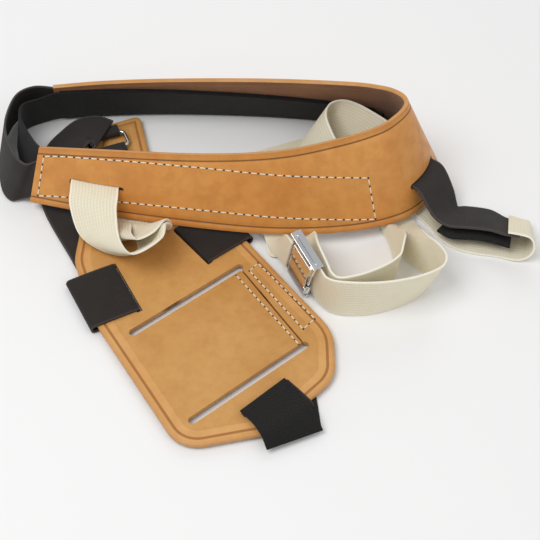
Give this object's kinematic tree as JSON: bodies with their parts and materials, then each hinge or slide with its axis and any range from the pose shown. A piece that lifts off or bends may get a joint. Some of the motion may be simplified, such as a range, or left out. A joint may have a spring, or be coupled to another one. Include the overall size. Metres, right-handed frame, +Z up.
{
  "type": "shoulder carrying harness",
  "caption": "Leather shoulder harness: curved yoke with elastic closing and webbing straps, chrome adjuster, and a slotted leather carrier plate with belt tongue and keeper straps.",
  "frame": {"origin": "on the floor under the middle of the laid-out harness", "axes": "+Z up from the floor; +X towards the bend of the yoke; +Y towards the yoke's back arm, away from the carrier plate"},
  "size_m": [0.4453, 0.3597, 0.0887],
  "materials": {
    "grain_leather": "oiled vegetable-tanned grain, creased and burnished edges",
    "plate_leather": "natural vegetable-tanned grain, creased and burnished edges",
    "grey_elastic": "woven elastic, matt",
    "black_hook_loop": "hook and loop pile",
    "cream_elastic": "ribbed woven elastic, matt",
    "chrome": "polished"
  },
  "bodies": {
    "harness": {"yoke_leather": "grain_leather", "front_arm_lining": "black_hook_loop", "back_arm_lining": "black_hook_loop", "closing_strap_outer": "grey_elastic", "closing_strap_inner": "black_hook_loop", "back_strap": "grey_elastic", "back_strap_return": "black_hook_loop", "webbing_end_tab": "cream_elastic", "webbing_slot_loop": "cream_elastic", "webbing_slot_return": "cream_elastic", "webbing_lower_loop": "cream_elastic", "webbing_second_loop": "cream_elastic", "webbing_upper_loop": "cream_elastic", "adjuster_frame": "chrome", "adjuster_pin": "chrome", "adjuster_bar": "chrome", "webbing_bar_fold": "cream_elastic", "carrier_plate": "plate_leather", "margin_loop_strip": "black_hook_loop", "keeper_left": "grey_elastic", "keeper_upper": "grey_elastic", "keeper_lower": "grey_elastic", "ring_anchor": "grey_elastic", "hanger_strap": "grey_elastic"},
    "tongue": {"belt_tongue": "plate_leather", "tongue_hook_strip": "black_hook_loop"},
    "clamp_lever": {"adjuster_lever": "chrome"},
    "ring": {"hanger_ring": "chrome", "hanger_loop": "grey_elastic"},
    "keeper_tab": {"keeper_lower_tab": "black_hook_loop"}
  },
  "joints": [
    {"name": "tongue_lift", "type": "hinge", "parent": "harness", "child": "tongue", "pos_m": [-0.0683, -0.1163, 0.0057], "axis": [0.5189, -0.8548, 0], "range_deg": [0, 80]},
    {"name": "clamp_swing", "type": "hinge", "parent": "harness", "child": "clamp_lever", "pos_m": [0.0385, -0.0346, 0.0014], "axis": [0.121, -0.2095, 0.9703], "range_deg": [0, 20]},
    {"name": "ring_lift", "type": "hinge", "parent": "harness", "child": "ring", "pos_m": [-0.1258, 0.1202, 0.009], "axis": [0.9272, 0.3746, 0], "range_deg": [0, 25], "deforming": ["hanger_strap"]},
    {"name": "keeper_peel", "type": "hinge", "parent": "harness", "child": "keeper_tab", "pos_m": [0.0052, -0.1356, 0.0079], "axis": [-0.7422, -0.6702, 0], "range_deg": [0, 100]}
  ]
}
